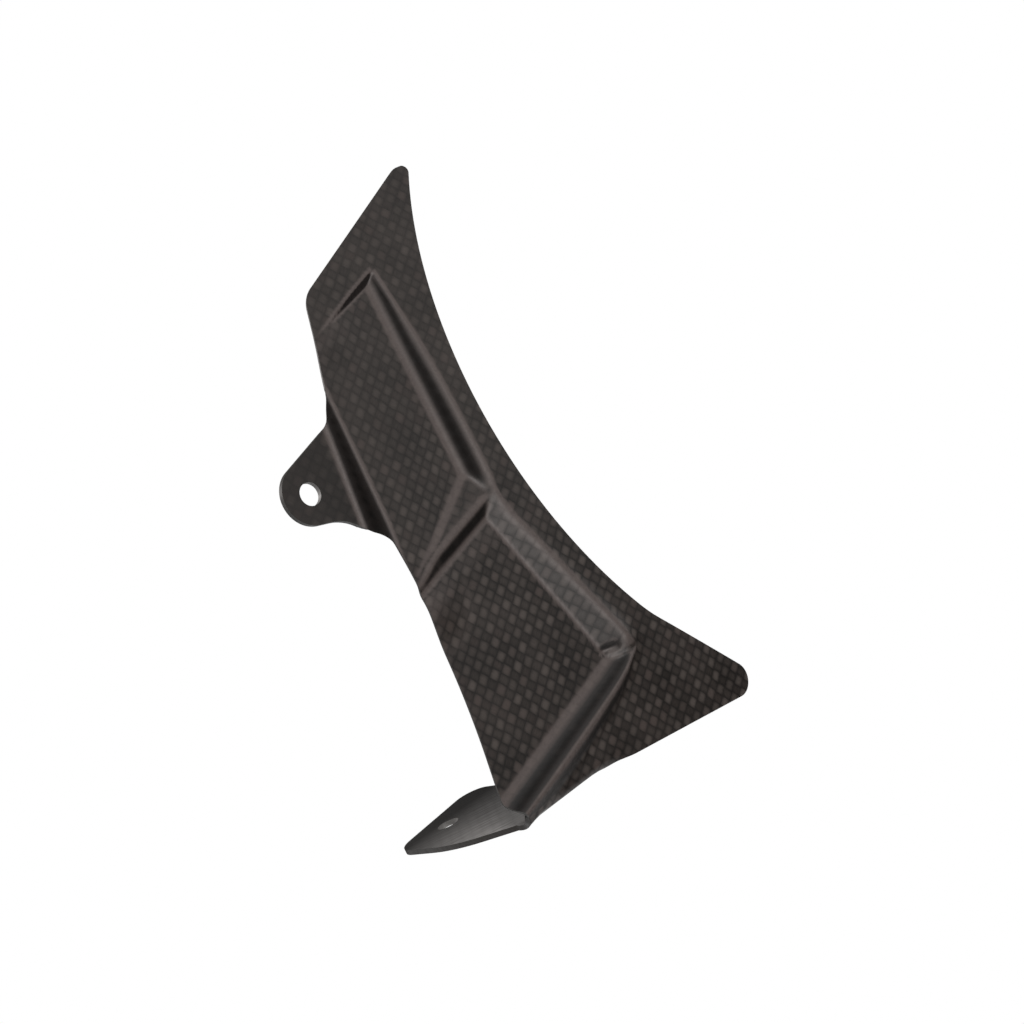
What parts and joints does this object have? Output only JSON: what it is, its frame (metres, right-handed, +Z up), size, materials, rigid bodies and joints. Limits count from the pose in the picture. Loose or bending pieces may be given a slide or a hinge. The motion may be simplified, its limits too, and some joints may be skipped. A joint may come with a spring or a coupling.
{
  "type": "motorcycle sprocket cover",
  "caption": "Moulded carbon-laminate cover for a motorcycle's front sprocket, a bowed panel with stepped pockets, a side lug and a bent-back tab, each with a screw hole.",
  "frame": {"origin": "centre of the lug's screw hole, on the lug's outer face", "axes": "+X to the right seen from outside, +Y inward from the panel, +Z up along the panel's length"},
  "size_m": [0.0951, 0.05, 0.1574],
  "materials": {
    "carbon_laminate": "satin clear resin over a dark plain-woven cloth"
  },
  "bodies": {
    "root": {"sprocket_cover": "carbon_laminate"}
  },
  "joints": []
}
